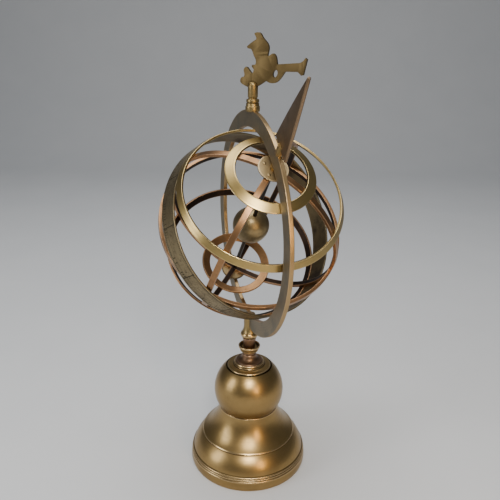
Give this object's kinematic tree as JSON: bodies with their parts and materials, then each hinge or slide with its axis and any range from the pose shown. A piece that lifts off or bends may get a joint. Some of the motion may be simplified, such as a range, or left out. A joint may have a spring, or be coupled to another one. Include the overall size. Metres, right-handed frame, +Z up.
{
  "type": "armillary sphere",
  "caption": "Table armillary sphere: hooped cage turning on a tilted rod inside an upright ring, on a turned stem and round foot, with a swivelling horn-blower vane.",
  "frame": {"origin": "centre of the foot's underside, on the table", "axes": "+Z up along the stem; the upright ring lies in XZ and the turning axis leans from +Z toward +X"},
  "size_m": [0.2166, 0.1632, 0.4059],
  "materials": {
    "spun_brass": "antique satin",
    "collar_brass": "antique satin",
    "neck_bronze": "antique satin",
    "stem_brass": "antique satin",
    "meridian_brass": "antique satin",
    "globe_brass": "antique satin",
    "arrow_brass": "antique satin",
    "hoop_copper": "antique satin",
    "gilt_band": "antique satin",
    "zodiac_brass": "antique satin",
    "hub_brass": "antique satin",
    "polar_copper": "antique satin",
    "vane_brass": "antique satin",
    "iron": "rough",
    "steel": "satin",
    "dark_steel": "blackened",
    "felt": "matt"
  },
  "bodies": {
    "stand": {"foot": "spun_brass", "base_plate": "iron", "felt_pad": "felt", "tie_rod": "steel", "tie_nut": "steel", "knop_ball": "spun_brass", "ball_collar": "collar_brass", "neck_cone": "neck_bronze", "saucer": "collar_brass", "waist": "neck_bronze", "bead_collar": "collar_brass", "stem_tube": "stem_brass", "meridian_ring": "meridian_brass", "ring_pin": "stem_brass", "axis_rod": "dark_steel", "axis_nuts": "collar_brass", "axis_collars": "collar_brass", "globe": "globe_brass", "globe_screw": "dark_steel", "arrow_socket": "stem_brass", "arrow_blade": "arrow_brass", "ring_clamp": "stem_brass", "clamp_pin": "stem_brass", "vane_pivot": "steel"},
    "cage": {"equinox_colure": "hoop_copper", "solstice_colure": "hoop_copper", "equator_ring": "hoop_copper", "upper_tropic": "gilt_band", "lower_tropic": "hoop_copper", "arctic_ring": "gilt_band", "antarctic_ring": "polar_copper", "zodiac_band": "zodiac_brass", "north_hub": "hub_brass", "south_hub": "hub_brass", "hub_rivets": "hub_brass"},
    "vane": {"vane_post": "stem_brass", "vane_pin": "stem_brass", "vane_figure": "vane_brass"}
  },
  "joints": [
    {"name": "cage_spin", "type": "hinge", "parent": "stand", "child": "cage", "pos_m": [0, 0, 0.24544], "axis": [0.6561, 0, 0.7547], "continuous": true},
    {"name": "vane_swivel", "type": "hinge", "parent": "stand", "child": "vane", "pos_m": [0, 0, 0.36], "axis": [0, 0, 1], "continuous": true}
  ]
}
